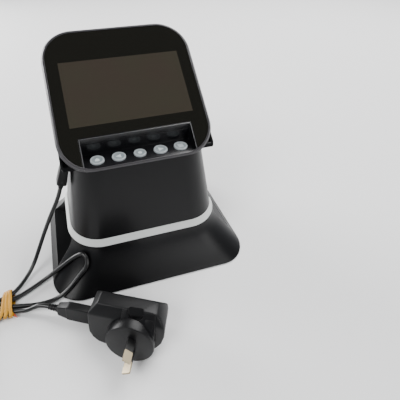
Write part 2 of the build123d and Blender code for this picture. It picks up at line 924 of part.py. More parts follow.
def make_coil():
    path = coil_path()
    start = Plane(origin=path @ 0, z_dir=path % 0)
    tube = sweep(start * Circle(cord_diameter / 2), path=path)
    plain = math.pi * (cord_diameter / 2) ** 2 * path.length
    steps = 400
    points = [path @ (i / steps) for i in range(steps + 1)]
    apart = int(steps * 2 * coil_radius / path.length)
    gap = min((points[i] - points[j]).length
              for i in range(steps + 1) for j in range(i + apart, steps + 1)) - cord_diameter
    print("cord_coil length", round(path.length, 1), "volume", round(tube.volume / plain, 4),
          "least gap", round(gap, 2))
    lengths.append(path.length)
    return tube.solids()[0]


def make_tie():
    width = tie_rear - tie_front
    height = tie_high - tie_low
    plane = Plane(origin=(tie_x - tie_length / 2, (tie_front + tie_rear) / 2,
                          (tie_low + tie_high) / 2), x_dir=(0, 1, 0), z_dir=(1, 0, 0))
    outer = plane * RectangleRounded(width, height, tie_round)
    inner = plane * RectangleRounded(width - 2 * tie_wall, height - 2 * tie_wall,
                                     tie_round - tie_wall)
    return extrude(outer - inner, tie_length, dir=(1, 0, 0))


# ---- wall adapter and USB plug --------------------------------------------------------------
lean_cos = math.cos(turn(adapter_lean))
lean_sin = math.sin(turn(adapter_lean))
head_cos = math.cos(turn(adapter_heading))
head_sin = math.sin(turn(adapter_heading))
adapter_u = (head_cos, head_sin, 0)
adapter_w = (head_sin * lean_cos, -head_cos * lean_cos, lean_sin)
adapter_plane = Plane(origin=(adapter_x, adapter_y, face_radius * lean_cos),
                      x_dir=adapter_u, z_dir=adapter_w)


def across(points, u0, u1):
    """A section drawn in t and v, run along u."""
    side = Plane(origin=(u0, 0, 0), x_dir=(0, 0, -1), z_dir=(1, 0, 0))
    face = side * make_face(Polyline(*points, close=True).edges())
    return extrude(face, u1 - u0, dir=(1, 0, 0))


def u_box(u0, u1, height, thickness):
    """A box along u, centred on the USB plug's axis."""
    return Pos((u0 + u1) / 2, usb_v, -usb_t) * Box(u1 - u0, height, thickness)


def make_adapter_body():
    low = -2 * face_radius
    points = [(block_left, low), (block_right, low), (block_right, block_shoulder),
              (block_top_right, block_top), (block_top_left, block_top),
              (block_left, block_shoulder)]
    face = make_face(Polyline(*points, close=True).edges())
    corners = face.vertices().sort_by(Axis.Y)[-4:]
    face = fillet(corners, block_edge)
    block = extrude(Pos(0, 0, -block_rear) * face, block_rear - face_front)
    section = [(face_front, low), (face_front, block_shoulder), (block_top_front, block_top),
               (block_top_rear, block_top), (block_rear, block_shoulder), (block_rear, low)]
    block = block & across(section, block_left, block_right)
    port = u_box(block_left, block_left + usb_shell_in + 1, usb_shell_v + 2 * usb_fit,
                 usb_shell_t + 2 * usb_fit)
    return one((adapter_plane * (block - port)) & above_floor(0))


def blade(v, angle, t0, t1, width, thickness):
    plate = Box(width, thickness, t1 - t0)
    return Pos(pin_u, v, -(t0 + t1) / 2) * Rot(0, 0, angle) * plate


def pin_pair(t0, t1, width, thickness):
    upper = blade(pin_v, -pin_turn, t0, t1, width, thickness)
    lower = blade(-pin_v, pin_turn, t0, t1, width, thickness)
    return upper, lower


def make_adapter_face():
    face = Pos(0, 0, -face_front / 2) * Cylinder(face_radius, face_front)
    section = [(face_front, plate_low), (plate_front, plate_low),
               (plate_front, plate_shoulder), (block_top_front, block_top),
               (face_front, block_shoulder)]
    body = face + across(section, plate_left, plate_right)
    body = body - Pos(scallop_u, scallop_v, -scallop_t) * Sphere(scallop_radius)
    for hole in pin_pair(-1, pin_root, pin_width - 2 * pin_core + 2 * pin_fit,
                         pin_thickness - pin_core + 2 * pin_fit):
        body = body - hole
    return one((adapter_plane * body) & above_floor(0))


def make_pins():
    pins = []
    cores = pin_pair(-pin_sleeve, pin_root, pin_width - 2 * pin_core, pin_thickness - pin_core)
    ends = pin_pair(-pin_length, -pin_sleeve, pin_width, pin_thickness)
    for core, end in zip(cores, ends):
        pins.append(adapter_plane * one(core + end))
    return pins


def make_sleeves():
    sleeves = []
    outer = pin_pair(-pin_sleeve, 0, pin_width, pin_thickness)
    inner = pin_pair(-pin_sleeve - 1, 1, pin_width - 2 * pin_core + 2 * pin_fit,
                     pin_thickness - pin_core + 2 * pin_fit)
    for whole, hole in zip(outer, inner):
        sleeves.append(adapter_plane * one(whole - hole))
    return sleeves


usb_end = block_left - usb_shell_shown
usb_tail = usb_end - usb_length


def usb_section(u, height, thickness, corner):
    plane = Plane(origin=(u, usb_v, -usb_t), x_dir=(0, 1, 0), z_dir=(1, 0, 0))
    return plane * RectangleRounded(height, thickness, corner)


def make_usb_plug():
    tail = usb_section(usb_tail, usb_tail_height, usb_tail_thick, usb_round)
    waist = usb_section(usb_tail + usb_taper, usb_height - usb_round, usb_thick, usb_round)
    end = usb_section(usb_end, usb_height, usb_thick, usb_round)
    body = loft([tail, waist], ruled=True) + loft([waist, end], ruled=True)
    relief = Plane(origin=(usb_tail, usb_v, -usb_t), z_dir=(-1, 0, 0))
    taper = loft([relief * Circle(relief_radius), relief.offset(relief_length)
                  * Circle(relief_end)])
    for i in range(relief_grooves):
        step = relief_length / (relief_grooves + 1) * (i + 1)
        ring = Pos(0, 0, 0) * (Circle(relief_radius + 1) - Circle(relief_end - relief_groove / 2))
        taper = taper - extrude(relief.offset(step) * ring, relief_groove, dir=(-1, 0, 0))
    pocket = u_box(usb_end - usb_shell_held, usb_end, usb_shell_v + 2 * usb_fit,
                   usb_shell_t + 2 * usb_fit)
    return one(adapter_plane * (body + taper - pocket))


def make_usb_shell():
    u0 = usb_end - usb_shell_held
    u1 = block_left + usb_shell_in
    outer = u_box(u0, u1, usb_shell_v, usb_shell_t)
    inner = u_box(u0 + 1, u1 + 1, usb_shell_v - 2 * usb_shell_wall,
                  usb_shell_t - 2 * usb_shell_wall)
    return one(adapter_plane * (outer - inner))


# ---- assembly -----------------------------------------------------------------------------
node("base_skirt", make_skirt())
node("bottom_cover", make_cover())
feet = [rod(x, y, 0, base_clear + foot_sink, foot_radius) for x, y in foot_places]
node("rubber_feet", *feet)
base_screws = []
for x in (-base_screw_x, base_screw_x):
    for y in (-base_screw_y, base_screw_y):
        base_screws.append(screw(x, y, base_clear + screw_head_height,
                                 cover_thickness + base_screw_length - screw_spare,
                                 base_screw_head, base_screw_radius))
node("base_screws", *base_screws)
node("light_ring", make_ring())
node("neck_front_shell", make_neck(True))
node("neck_rear_shell", make_neck(False))
neck_screws = []
for x in (-neck_boss_x, neck_boss_x):
    for y in (neck_boss_front, neck_boss_rear):
        neck_screws.append(screw(x, y, deck_under, skirt_deck + neck_screw_length - screw_spare,
                                 base_screw_head, base_screw_radius))
node("neck_screws", *neck_screws)
node("lower_film_guide", make_lower_guide())
node("upper_film_guide", make_upper_guide())
node("lamp_diffuser", window(tray_floor - diffuser_thickness, tray_floor,
                             diffuser_lip - diffuser_fit))
lamp_half_x = lamp_board_x / 2
lamp_half_y = lamp_board_y / 2
node("lamp_board", box(-lamp_half_x, lamp_half_x, optic_y - lamp_half_y,
                       optic_y + lamp_half_y, cover_top, cover_top + lamp_board_thickness))
lamps = []
for i in range(lamp_columns):
    for j in range(lamp_rows):
        x = (i - (lamp_columns - 1) / 2) * lamp_pitch
        y = optic_y + (j - (lamp_rows - 1) / 2) * lamp_pitch
        low = cover_top + lamp_board_thickness
        lamps.append(box(x - lamp_size / 2, x + lamp_size / 2, y - lamp_size / 2,
                         y + lamp_size / 2, low, low + lamp_height))
node("backlight_lamps", *lamps)
node("optics_tower", make_tower())
barrel, barrel_low = make_barrel()
node("lens_barrel", barrel)
lens_low = barrel_low + lens_inset
lens_high = barrel_low + barrel_length - lens_inset
node("front_lens", rod(0, optic_y, lens_low, lens_low + lens_thickness, lens_radius - lens_fit))
node("rear_lens", rod(0, optic_y, lens_high - lens_thickness, lens_high, lens_radius - lens_fit))
node("sensor_board", box(-tower_x / 2, tower_x / 2, optic_y - tower_y / 2,
                         optic_y + tower_y / 2, tower_top,
                         tower_top + sensor_board_thickness))
node("image_sensor", box(-sensor_size / 2, sensor_size / 2, optic_y - sensor_size / 2,
                         optic_y + sensor_size / 2, tower_top - sensor_height, tower_top))
node("head_rim", make_bezel())
node("front_glass", make_glass())
node("button_ledge", make_ledge())
node("display_panel", head_box(lcd_width + 2 * lcd_border, lcd_height + 2 * lcd_border,
                               lcd_v, glass_back, lcd_back))
node("display_frame", head_box(lcd_width + 2 * lcd_border, lcd_height + 2 * lcd_border,
                               lcd_v, lcd_back, lcd_back + lcd_frame_wall))
node("display_ribbon", head_box(ribbon_width, ribbon_thickness, ribbon_v,
                                lcd_back + lcd_frame_wall, board_drop))
node("head_case", make_case())
node("head_screws", *make_head_screws())
node("main_board", make_board())
node("board_screws", *make_board_screws())
node("main_chip", head_box(chip_size, chip_size, chip_v, board_back,
                           board_back + chip_height, x=chip_x))
node("memory_card_socket", head_box(card_slot_x, card_slot_v, card_v, board_back,
                                    board_back + card_slot_height,
                                   x=board_x / 2 + card_slot_x / 2 - card_reach))
node("button_board", make_button_board())
node("button_switches", *make_switches())
node("button_board_screws", *make_button_screws())
names = ["home_button", "left_button", "ok_button", "right_button", "menu_button"]
for name, x in zip(names, button_places):
    mark = {"left_button": 1, "right_button": -1}.get(name, 0)
    node(name, make_button(x, mark))
node("power_socket", make_socket())
node("power_plug", make_plug_body())
node("power_plug_tip", make_plug_tip())


lengths = []
plug_end = along((plug_x, plug_y, plug_z), plug_dir, plug_length)
first_points = [plug_end, along(plug_end, plug_dir, cord_exit)]
relief_tip = adapter_plane.from_local_coords((usb_tail - relief_length, usb_v, -usb_t))
relief_tip = (relief_tip.X, relief_tip.Y, relief_tip.Z)
last_points = [along(relief_tip, adapter_u, -cord_exit), relief_tip]
node("cord_scanner_run", cord_tube("cord_scanner_run", first_points + scanner_points))
node("cord_loop_run", cord_tube("cord_loop_run", loop_points))
node("cord_coil", make_coil())
node("cord_plug_run", cord_tube("cord_plug_run", plug_points + last_points))
print("cord in all", round(sum(lengths), 1), "relief tip", [round(c, 2) for c in relief_tip])
node("cord_tie", make_tie())
node("usb_plug", make_usb_plug())
node("usb_plug_shell", make_usb_shell())
node("adapter_body", make_adapter_body())
node("adapter_face", make_adapter_face())
node("adapter_pin_sleeves", *make_sleeves())
node("adapter_pins", *make_pins())

# ---- one shared move, so that the whole scanner is centred over the origin ------------------
case_y = made["head_case"].bounding_box().max.Y
rim_y = made["head_rim"].bounding_box().max.Y
set_back = -(base_front + max(case_y, rim_y)) / 2
print("moved along Y by", round(set_back, 4))
for name, shape in made.items():
    moved = [Pos(0, set_back, 0) * solid for solid in shape.solids()]
    shape = moved[0] if len(moved) == 1 else Compound(children=moved)
    export_step(shape, f"parts/{name}.step")
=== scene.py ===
import math

import bmesh
import bpy
from mathutils import Matrix, Vector


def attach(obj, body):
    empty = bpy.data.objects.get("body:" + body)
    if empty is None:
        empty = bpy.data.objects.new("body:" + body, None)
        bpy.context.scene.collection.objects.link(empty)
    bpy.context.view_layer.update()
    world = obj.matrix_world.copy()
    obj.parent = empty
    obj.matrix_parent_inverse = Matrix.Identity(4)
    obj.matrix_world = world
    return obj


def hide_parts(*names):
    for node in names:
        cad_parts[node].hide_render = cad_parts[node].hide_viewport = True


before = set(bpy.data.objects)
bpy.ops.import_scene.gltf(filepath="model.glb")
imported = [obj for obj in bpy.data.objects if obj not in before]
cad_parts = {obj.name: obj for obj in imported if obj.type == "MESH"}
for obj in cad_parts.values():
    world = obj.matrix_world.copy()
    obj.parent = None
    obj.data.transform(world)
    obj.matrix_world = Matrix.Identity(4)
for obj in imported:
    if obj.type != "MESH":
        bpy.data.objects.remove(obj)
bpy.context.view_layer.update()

# ---- viewpoint ------------------------------------------------------------------------------
# The scanner is looked down on from its front left, from about 27 cm off the middle of its
# neck. The lens looks a little left of the scanner and is shifted to frame it.
look_at = Vector((0.0, -0.03322, 0.090))
eye_turn = math.radians(-14.66679)
eye_rise = math.radians(41.16423)
eye_roll = math.radians(-0.97116)
eye_distance = 0.26620925
eye_back = Vector((math.sin(eye_turn) * math.cos(eye_rise),
                   -math.cos(eye_turn) * math.cos(eye_rise), math.sin(eye_rise)))
level_right = Vector((math.cos(eye_turn), math.sin(eye_turn), 0.0))
level_up = eye_back.cross(level_right)
eye_right = level_right * math.cos(eye_roll) + level_up * math.sin(eye_roll)
eye_up = level_up * math.cos(eye_roll) - level_right * math.sin(eye_roll)
lens = bpy.data.cameras.new("viewpoint")
lens.sensor_width = 36.0
lens.lens = 27.0
lens.shift_x = 0.1404
lens.shift_y = -0.0548
lens.clip_start = 0.01
lens.clip_end = 20.0
viewpoint = bpy.data.objects.new("viewpoint", lens)
eye = look_at + eye_back * eye_distance
viewpoint.matrix_world = Matrix(((eye_right.x, eye_up.x, eye_back.x, eye.x),
                                 (eye_right.y, eye_up.y, eye_back.y, eye.y),
                                 (eye_right.z, eye_up.z, eye_back.z, eye.z),
                                 (0, 0, 0, 1)))
bpy.context.scene.collection.objects.link(viewpoint)
bpy.context.scene.camera = viewpoint

# ---- power lead -----------------------------------------------------------------------------
# One round lead of black PVC, 3.9 mm thick and about 1.1 m long, from the scanner's plug to the
# flat USB plug. Its spare length is wound in a coil of two layers, left of the tie.
lead_thick = 0.0039
set_back = -12.7199             # from the base's middle to the whole scanner's, along Y, in mm


def lead_point(x, y, z):
    return Vector((x, y + set_back, z)) / 1000


def moulded(name, colour, rough, grain=0.0004, relief=0.00002, rough_spread=0.06,
            tone_spread=0.12, tone_size=0.03, shine=0.5, coat=0.0, edge=0.0):
    """A plastic or rubber skin: fine mould grain in its relief, and tone and gloss that drift.
    `edge` is the small radius that moulding leaves on sharp edges."""
    skin = bpy.data.materials.new(name)
    skin.use_nodes = True
    nodes, links = skin.node_tree.nodes, skin.node_tree.links
    surface = nodes["Principled BSDF"]
    surface.inputs["Specular IOR Level"].default_value = shine
    surface.inputs["Coat Weight"].default_value = coat
    surface.inputs["Coat Roughness"].default_value = 0.08
    where = nodes.new("ShaderNodeTexCoord")
    drift = nodes.new("ShaderNodeTexNoise")
    drift.inputs["Scale"].default_value = 1 / tone_size
    drift.inputs["Detail"].default_value = 3.0
    links.new(where.outputs["Object"], drift.inputs["Vector"])
    tone = nodes.new("ShaderNodeMix")
    tone.data_type = "RGBA"
    tone.inputs["A"].default_value = (*[c * (1 - tone_spread) for c in colour], 1)
    tone.inputs["B"].default_value = (*[c * (1 + tone_spread) for c in colour], 1)
    links.new(drift.outputs["Fac"], tone.inputs["Factor"])
    links.new(tone.outputs["Result"], surface.inputs["Base Color"])
    wear = nodes.new("ShaderNodeTexNoise")
    wear.inputs["Scale"].default_value = 0.4 / tone_size
    wear.inputs["Detail"].default_value = 6.0
    links.new(where.outputs["Object"], wear.inputs["Vector"])
    gloss = nodes.new("ShaderNodeMapRange")
    gloss.inputs["From Min"].default_value = 0.3
    gloss.inputs["From Max"].default_value = 0.7
    gloss.inputs["To Min"].default_value = rough - rough_spread
    gloss.inputs["To Max"].default_value = rough + rough_spread
    links.new(wear.outputs["Fac"], gloss.inputs["Value"])
    links.new(gloss.outputs["Result"], surface.inputs["Roughness"])
    pits = nodes.new("ShaderNodeTexNoise")
    pits.inputs["Scale"].default_value = 0.5 / grain
    pits.inputs["Detail"].default_value = 2.0
    links.new(where.outputs["Object"], pits.inputs["Vector"])
    bump = nodes.new("ShaderNodeBump")
    bump.inputs["Strength"].default_value = 0.6
    bump.inputs["Distance"].default_value = relief
    links.new(pits.outputs["Fac"], bump.inputs["Height"])
    if edge:
        rounding = nodes.new("ShaderNodeBevel")
        rounding.samples = 6
        rounding.inputs["Radius"].default_value = edge
        links.new(rounding.outputs["Normal"], bump.inputs["Normal"])
    links.new(bump.outputs["Normal"], surface.inputs["Normal"])
    return skin


plug_end = (-72.171, 1.5, 82.699)
plug_way = (-0.30902, 0.0, -0.95106)
straight_out = 8                # the lead runs straight for this far at each plug
scanner_run = [plug_end, tuple(a + straight_out * b for a, b in zip(plug_end, plug_way)),
               (-79.8, -1.2, 64.5), (-87.6, -4.4, 52.5), (-94.6, -7.6, 40.5), (-101.2, -12.0, 29.3),
               (-107.2, -17.6, 19.4), (-112.6, -23.4, 11.4), (-117.6, -29.4, 6.6),
               (-123.4, -36.2, 4.2), (-129.0, -43.0, 3.4), (-135.0, -48.0, 3.2),
               (-142.5, -50.8, 3.2), (-149.5, -50.8, 3.0)]
loop_run = [(-156.5, -50.8, 2.8), (-165.0, -45.5, 2.3), (-175.0, -36.5, 2.1),
            (-189.0, -36.0, 2.1), (-196.5, -47.0, 2.1), (-190.5, -59.0, 2.1), (-176.5, -63.0, 2.1),
            (-163.0, -59.5, 2.3), (-150.5, -55.9, 2.8), (-138.0, -54.4, 3.2), (-127.0, -51.0, 2.6),
            (-116.7, -45.9, 2.1), (-106.5, -40.6, 2.3), (-95.5, -38.0, 7.2), (-84.2, -38.9, 16.9),
            (-73.8, -38.9, 25.3), (-63.4, -41.0, 31.2), (-61.8, -50.4, 24.2), (-71.0, -53.4, 16.5),
            (-80.9, -58.9, 8.9), (-91.6, -62.4, 2.8), (-103.3, -64.3, 2.1), (-115.4, -63.7, 2.2),
            (-128.0, -61.4, 2.8), (-141.0, -59.3, 3.2), (-150.5, -61.8, 2.7), (-160.5, -68.0, 2.1),
            (-169.5, -73.1, 2.1), (-177.1, -73.1, 2.1)]
coil_x, coil_y = -181.0, -98.0
coil_radius = 24.9              # the outermost turn's, to the lead's middle
coil_draw_in = 2.25             # each half turn is this much smaller, and then larger again
coil_layer = 4.4                # from the lower layer up to the upper one
half_turns = 7
steps_per_half = 6
turn_step = 30                  # degrees from one point of a turn to the next
corner_share = 0.966            # the smooth line's radius over its points': cos of half a step
coil_run = []
coil_place = coil_radius
coil_height = 2.1
last_half = half_turns - 1
for half_turn in range(half_turns):
    half_turn_radius = coil_radius - min(half_turn, last_half - half_turn) * coil_draw_in
    way = 1 if half_turn % 2 == 0 else -1
    climb = coil_layer if half_turn == last_half / 2 else 0.0
    middle = coil_place - half_turn_radius * way
    for step in range(steps_per_half):
        angle = math.radians(turn_step * (step + 0.5))
        reach = half_turn_radius / corner_share
        coil_run.append((coil_x - reach * math.sin(angle) * way,
                         coil_y + middle + reach * math.cos(angle) * way,
                         coil_height + climb * (1 - math.cos(angle)) / 2))
    coil_place -= 2 * half_turn_radius * way
    coil_height += climb
plug_run = [(-177.1, -127.4, 6.5), (-168.5, -127.4, 6.5), (-159.0, -121.5, 4.4),
            (-152.9, -111.0, 2.4), (-151.2, -97.5, 2.1), (-152.8, -84.5, 2.2),
            (-151.2, -75.2, 2.5), (-145.9, -68.0, 3.0), (-137.8, -64.7, 3.2),
            (-128.8, -65.8, 3.0), (-121.0, -67.9, 4.0), (-114.4, -68.9, 7.8)]
heading = math.radians(-27)     # of the adapter and of the USB plug that is pushed into it
usb_tip = (-101.14, -72.94, 10.15)
usb_way = (math.cos(heading), math.sin(heading), 0.0)
plug_run += [tuple(a - straight_out * b for a, b in zip(usb_tip, usb_way)), usb_tip]
lead_way = scanner_run + loop_run + coil_run + plug_run
lead_line = bpy.data.curves.new("power_lead", "CURVE")
lead_line.dimensions = "3D"
lead_line.bevel_depth = lead_thick / 2
lead_line.bevel_resolution = 5
lead_line.resolution_u = 8
lead_line.use_fill_caps = True
spline = lead_line.splines.new("NURBS")
spline.points.add(len(lead_way) - 1)
for point, place in zip(spline.points, lead_way):
    point.co = (*lead_point(*place), 1)
spline.order_u = 3
spline.use_endpoint_u = True
power_lead = bpy.data.objects.new("power_lead", lead_line)
bpy.context.scene.collection.objects.link(power_lead)
lead_skin = moulded("lead_skin", (0.005, 0.005, 0.005), 0.32, grain=0.0003, relief=0.00001)
lead_line.materials.append(lead_skin)
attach(power_lead, "scanner")
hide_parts("cord_scanner_run", "cord_loop_run", "cord_coil", "cord_plug_run")

# ---- lead's tie -----------------------------------------------------------------------------
# An ochre twist tie: a flat ribbon with a wire inside, wound three times round the four strands
# that lie side by side. Its turns fan out towards the front, and its cut end shows red.
tie_middle = (-138.6, -57.1, 3.2)
tie_reach = 12.4                # from the bundle's middle to the ribbon at its front and rear
tie_lift = 2.15
tie_layer = 0.3                 # each turn lies this far above the last
tie_half_width = 1.55
tie_squareness = 0.45           # 1 would wind it in an ellipse, 0 in a rectangle
fan_rear, fan_front = 1.5, 4.8  # from turn to turn, at the bundle's rear and front


def skin_rings(name, rings):
    """A mesh skinned over rings of points, each ring closed on itself."""
    build = bmesh.new()
    loops = [[build.verts.new(p) for p in ring] for ring in rings]
    count = len(rings[0])
    for near, far in zip(loops, loops[1:]):
        for i in range(count):
            build.faces.new((near[i], near[(i + 1) % count], far[(i + 1) % count], far[i]))
    build.faces.new(list(reversed(loops[0])))
    build.faces.new(loops[-1])
    bmesh.ops.recalc_face_normals(build, faces=build.faces)
    mesh = bpy.data.meshes.new(name)
    build.to_mesh(mesh)
    build.free()
    return mesh


def place_piece(name, mesh, skins, body, replaced=()):
    """Puts a finished mesh in the scene with its skins, on its body and in its CAD node's place."""
    piece = bpy.data.objects.new(name, mesh)
    bpy.context.scene.collection.objects.link(piece)
    for skin in skins:
        mesh.materials.append(skin)
    mesh.shade_smooth()
    mesh.set_sharp_from_angle(angle=math.radians(38))
    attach(piece, body)
    if replaced:
        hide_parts(*replaced)
    return piece


tie_rings = []
tie_turns = 3
steps_per_turn = 56
for i in range(tie_turns * steps_per_turn + 1):
    turns = i / steps_per_turn
    angle = 2 * math.pi * turns - math.pi / 2
    lift = tie_lift + tie_layer * turns
    reach = tie_reach + tie_layer * turns
    y = -reach * math.copysign(abs(math.cos(angle)) ** tie_squareness, math.cos(angle))
    z = lift * math.copysign(abs(math.sin(angle)) ** tie_squareness, math.sin(angle))
    front_share = (1 + math.cos(angle)) / 2
    fan = fan_rear + (fan_front - fan_rear) * front_share
    x = (turns - tie_turns / 2) * fan + 0.4 * math.sin(angle * 2)
    outward = Vector((0, y / reach ** 2, z / lift ** 2)).normalized()
    middle = Vector(tie_middle) + Vector((x, y, z))
    ring = []
    for across, raised in ((-1, 0.0), (-0.5, 0.1), (0, 0.34), (0.5, 0.1), (1, 0.0),
                           (1, -0.14), (0, -0.14), (-1, -0.14)):
        spot = middle + Vector((across * tie_half_width, 0, 0)) + outward * raised
        spot.z = max(spot.z, 0.08)
        ring.append(lead_point(*spot))
    tie_rings.append(ring)
tie_yellow = moulded("tie_yellow", (0.50, 0.235, 0.006), 0.42, grain=0.0009, relief=0.00006,
                     tone_spread=0.25, tone_size=0.004)
place_piece("lead_tie", skin_rings("lead_tie", tie_rings), [tie_yellow], "scanner",
            ["cord_tie"])
tail_start = Vector((-134.4, -67.2, 4.6))
tail_end = Vector((-130.2, -70.6, 1.4))
tail_steps = 14
tail_twist = 2.6                # radians from its start to its end
tail_red_from = -0.1322         # right of this x, in metres, its cut end is red
tail_rings = []
for i in range(tail_steps + 1):
    share = i / tail_steps
    twist = tail_twist * share
    middle = tail_start.lerp(tail_end, share)
    for_width = Vector((math.sin(0.9), math.cos(0.9) * math.cos(twist), math.sin(twist)))
    for_depth = Vector((0.77, -0.62, -0.1)).cross(for_width).normalized()
    half = 1.5 - 0.5 * share
    ring = []
    for across, raised in ((-1, 0.08), (0, 0.3), (1, 0.08), (1, -0.08), (0, -0.3), (-1, -0.08)):
        spot = middle + for_width * across * half + for_depth * raised
        spot.z = max(spot.z, 0.1)
        ring.append(lead_point(*spot))
    tail_rings.append(ring)
tie_red = moulded("tie_red", (0.55, 0.07, 0.03), 0.5, tone_spread=0.3, tone_size=0.002)
tail_mesh = skin_rings("lead_tie_tail", tail_rings)
place_piece("lead_tie_tail", tail_mesh, [tie_yellow, tie_red], "scanner")
for face in tail_mesh.polygons:
    if face.center.x > tail_red_from:
        face.material_index = 1

# ---- plug at the scanner --------------------------------------------------------------------
# The lead's overmoulded plug hangs from the socket under the head. It is black PVC moulded
# round a flat metal tip, and its collar narrows onto the lead.
plug_top = Vector((-64.6, 1.5, 106.0))
plug_down = Vector(plug_way)
plug_side = Vector((0, 1, 0)).cross(plug_down)


def rounded_ring(middle, across, up, half_across, half_up, squareness, count=40):
    """A ring between an ellipse, at squareness 2, and a rectangle with rounded corners."""
    ring = []
    for i in range(count):
        angle = 2 * math.pi * i / count
        c, s = math.cos(angle), math.sin(angle)
        a = half_across * math.copysign(abs(c) ** (2 / squareness), c)
        b = half_up * math.copysign(abs(s) ** (2 / squareness), s)
        ring.append(lead_point(*(middle + across * a + up * b)))
    return ring


plug_rings = []
for down, half_y, half_x, squareness in (
        (0.0, 3.9, 3.0, 5), (0.5, 4.25, 3.4, 6), (2.5, 4.4, 3.6, 7), (12.0, 4.9, 4.15, 7),
        (21.5, 5.2, 4.6, 7), (23.4, 5.05, 4.45, 6), (24.2, 4.3, 3.7, 4), (24.5, 2.7, 2.6, 2.4),
        (25.3, 2.5, 2.5, 2), (26.0, 2.3, 2.3, 2), (26.4, 2.6, 2.6, 2), (27.2, 2.5, 2.5, 2),
        (27.6, 2.2, 2.2, 2), (28.2, 2.45, 2.45, 2), (29.0, 2.35, 2.35, 2), (29.6, 2.0, 2.0, 2)):
    plug_rings.append(rounded_ring(plug_top + plug_down * down, Vector((0, 1, 0)), plug_side,
                                   half_y, half_x, squareness))
plug_skin = moulded("plug_skin", (0.004, 0.004, 0.0045), 0.42, grain=0.0005, relief=0.00002,
                    shine=0.22)
place_piece("power_plug_grip", skin_rings("power_plug_grip", plug_rings), [plug_skin], "scanner",
            ["power_plug"])
dot_middle = plug_top + plug_down * 19.5 + Vector((0, -5.05, 0))
dot_rings = []
for out, radius in ((0.0, 0.95), (-0.14, 0.95), (-0.14, 0.6), (0.05, 0.5)):
    dot_rings.append(rounded_ring(dot_middle + Vector((0, out, 0)), plug_down, plug_side,
                                  radius, radius, 2, 20))
dot_skin = moulded("plug_dot_skin", (0.004, 0.004, 0.004), 0.5)
place_piece("power_plug_dot", skin_rings("power_plug_dot", dot_rings), [dot_skin], "scanner")


def dress(skin, *names):
    """Gives CAD nodes their skin."""
    for name in names:
        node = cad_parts[name]
        if not node.material_slots:
            node.data.materials.append(skin)
        for place in node.material_slots:
            place.material = skin


def metal(name, colour, rough, grain=0.0004):
    """A worked metal: fine rolling or plating marks in its gloss and its relief."""
    skin = moulded(name, colour, rough, grain=grain, relief=0.00001, rough_spread=0.1,
                   tone_spread=0.08, tone_size=0.01, edge=0.0002)
    skin.node_tree.nodes["Principled BSDF"].inputs["Metallic"].default_value = 1.0
    return skin


steel = metal("plated_steel", (0.62, 0.61, 0.58), 0.28)
dress(steel, "power_plug_tip", "power_socket")

# ---- wall adapter ---------------------------------------------------------------------------
# A black moulded block that leans back on its round face, with a finger notch above the face
# and two flat brass pins set in a V. A black sleeve covers the inner half of each pin.
face_radius = 19.2
lean = math.radians(14)
adapter_origin = Vector((-41.4, -125.3, face_radius * math.cos(lean)))
adapter_right = Vector((math.cos(heading), math.sin(heading), 0))
adapter_out = Vector((math.sin(heading) * math.cos(lean), -math.cos(heading) * math.cos(lean),
                      math.sin(lean)))
adapter_up = adapter_out.cross(adapter_right)


def adapter_spot(u, v, back):
    """A point of the adapter: u to its right, v up its face, and back from its face."""
    return adapter_origin + adapter_right * u + adapter_up * v - adapter_out * back


def low_v(back):
    """Where the adapter's block meets the table."""
    return back * math.tan(lean) - face_radius


block_side = [(-36, 2), (-35.4, -6), (-32.8, -11.5), (-28, -15.8), (-23, -19), (9, -19),
              (15, -15), (20, -9.5), (23.8, -3), (25.5, 5), (25.5, 11), (24.8, 15.5), (-36, 15)]
block_top = [(-29, 24.8), (14.5, 24.8), (18.5, 23.8), (21.8, 20.8), (24.2, 17.2), (-34, 17.8)]
block_front, block_rear = 8, 32
top_front, top_rear = 12, 24


def convex(name, spots, soft_edge):
    """A convex moulding through some corners, with its sharp edges rounded over."""
    build = bmesh.new()
    for spot in spots:
        build.verts.new(spot)
    made = bmesh.ops.convex_hull(build, input=build.verts)
    bmesh.ops.delete(build, geom=list(set(made["geom_interior"] + made["geom_unused"])),
                     context="VERTS")
    bmesh.ops.dissolve_limit(build, angle_limit=math.radians(1), verts=build.verts,
                             edges=build.edges)
    sharp = [e for e in build.edges
             if len(e.link_faces) == 2 and e.calc_face_angle() > math.radians(20)]
    bmesh.ops.bevel(build, geom=sharp, offset=soft_edge, segments=3, profile=0.5,
                    affect="EDGES")
    bmesh.ops.recalc_face_normals(build, faces=build.faces)
    mesh = bpy.data.meshes.new(name)
    build.to_mesh(mesh)
    build.free()
    return mesh


block_spots = []
for back in (block_front, block_rear):
    for u, v in block_side:
        block_spots.append(lead_point(*adapter_spot(u, max(v, low_v(back)), back)))
for back in (top_front, top_rear):
    for u, v in block_top:
        block_spots.append(lead_point(*adapter_spot(u, v, back)))
block_mesh = convex("adapter_block", block_spots, 0.0011)
adapter_skin = moulded("adapter_skin", (0.004, 0.004, 0.0045), 0.42, grain=0.0005,
                       relief=0.00003, shine=0.22, edge=0.0005)
adapter_block = place_piece("adapter_block", block_mesh, [adapter_skin], "scanner",
                            ["adapter_body"])
disc_rings = []
for back, radius in ((8.3, face_radius), (0.9, face_radius), (0.3, 18.95), (0.0, 18.3)):
    ring = []
    for i in range(72):
        angle = 2 * math.pi * i / 72
        spot = adapter_spot(radius * math.cos(angle), radius * math.sin(angle), back)
        spot.z = max(spot.z, 0.02)
        ring.append(lead_point(*spot))
    disc_rings.append(ring)
place_piece("adapter_disc", skin_rings("adapter_disc", disc_rings), [adapter_skin], "scanner",
            ["adapter_face"])
plate_spots = []
for u in (-10, 19):
    for back, v in ((8.2, -8), (3.5, -8), (3.5, 11.5), (12, 24.8), (8.2, 15)):
        narrow = 1.6 * max(v, 0) / 24.8
        plate_spots.append(lead_point(*adapter_spot(u - math.copysign(narrow, u), v, back)))
